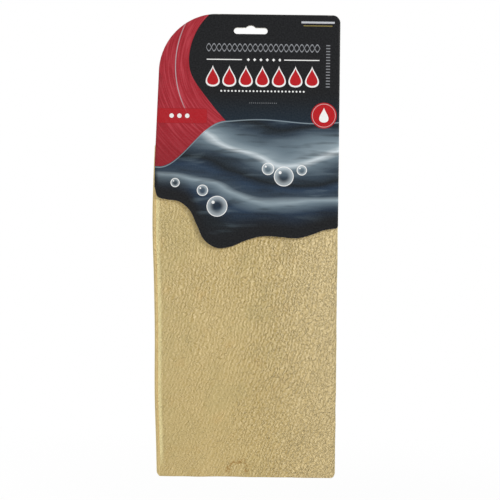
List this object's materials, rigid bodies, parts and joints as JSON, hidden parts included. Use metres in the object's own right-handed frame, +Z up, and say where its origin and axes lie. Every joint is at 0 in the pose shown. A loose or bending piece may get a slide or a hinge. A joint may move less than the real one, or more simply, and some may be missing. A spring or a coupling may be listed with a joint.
{
  "type": "folded chamois leather on a hang card",
  "caption": "Natural chamois leather folded to a flat oblong pack, its neck stapled inside a folded hang card with a peg slot and a wavy lower edge.",
  "frame": {"origin": "top of the hang slot's bump, where a peg carries the card, midway between the card's two panels", "axes": "+X to the right seen from the printed face, +Y from the printed face to the back, +Z up"},
  "size_m": [0.1763, 0.0104, 0.4398],
  "materials": {
    "printed_board": "gloss varnished print",
    "plain_board": "uncoated grey-white board",
    "leather": "soft napped, creped",
    "wire": "galvanised staple wire"
  },
  "bodies": {
    "card": {"back_panel": "plain_board", "neck_tab": "leather", "staple_left": "wire", "staple_middle": "wire", "staple_right": "wire"},
    "front": {"front_panel": "printed_board"},
    "skin": {"front_leaf": "leather"},
    "middle": {"middle_leaf": "leather"},
    "rear": {"rear_leaf": "leather"}
  },
  "joints": [
    {"name": "front_lift", "type": "hinge", "parent": "card", "child": "front", "pos_m": [0, -0.0016, 0.00905], "axis": [-1, 0, 0], "range_deg": [0, 150]},
    {"name": "skin_swing", "type": "hinge", "parent": "card", "child": "skin", "pos_m": [0, 0.00095, -0.0757], "axis": [1, 0, 0], "range_deg": [0, 120]},
    {"name": "middle_open", "type": "hinge", "parent": "skin", "child": "middle", "pos_m": [-0.0916, 0.00275, -0.193], "axis": [-0.0256, 0, 0.9997], "range_deg": [0, 170]},
    {"name": "rear_open", "type": "hinge", "parent": "middle", "child": "rear", "pos_m": [0.085, 0.00595, -0.27], "axis": [0, 0, -1], "range_deg": [0, 170]}
  ]
}
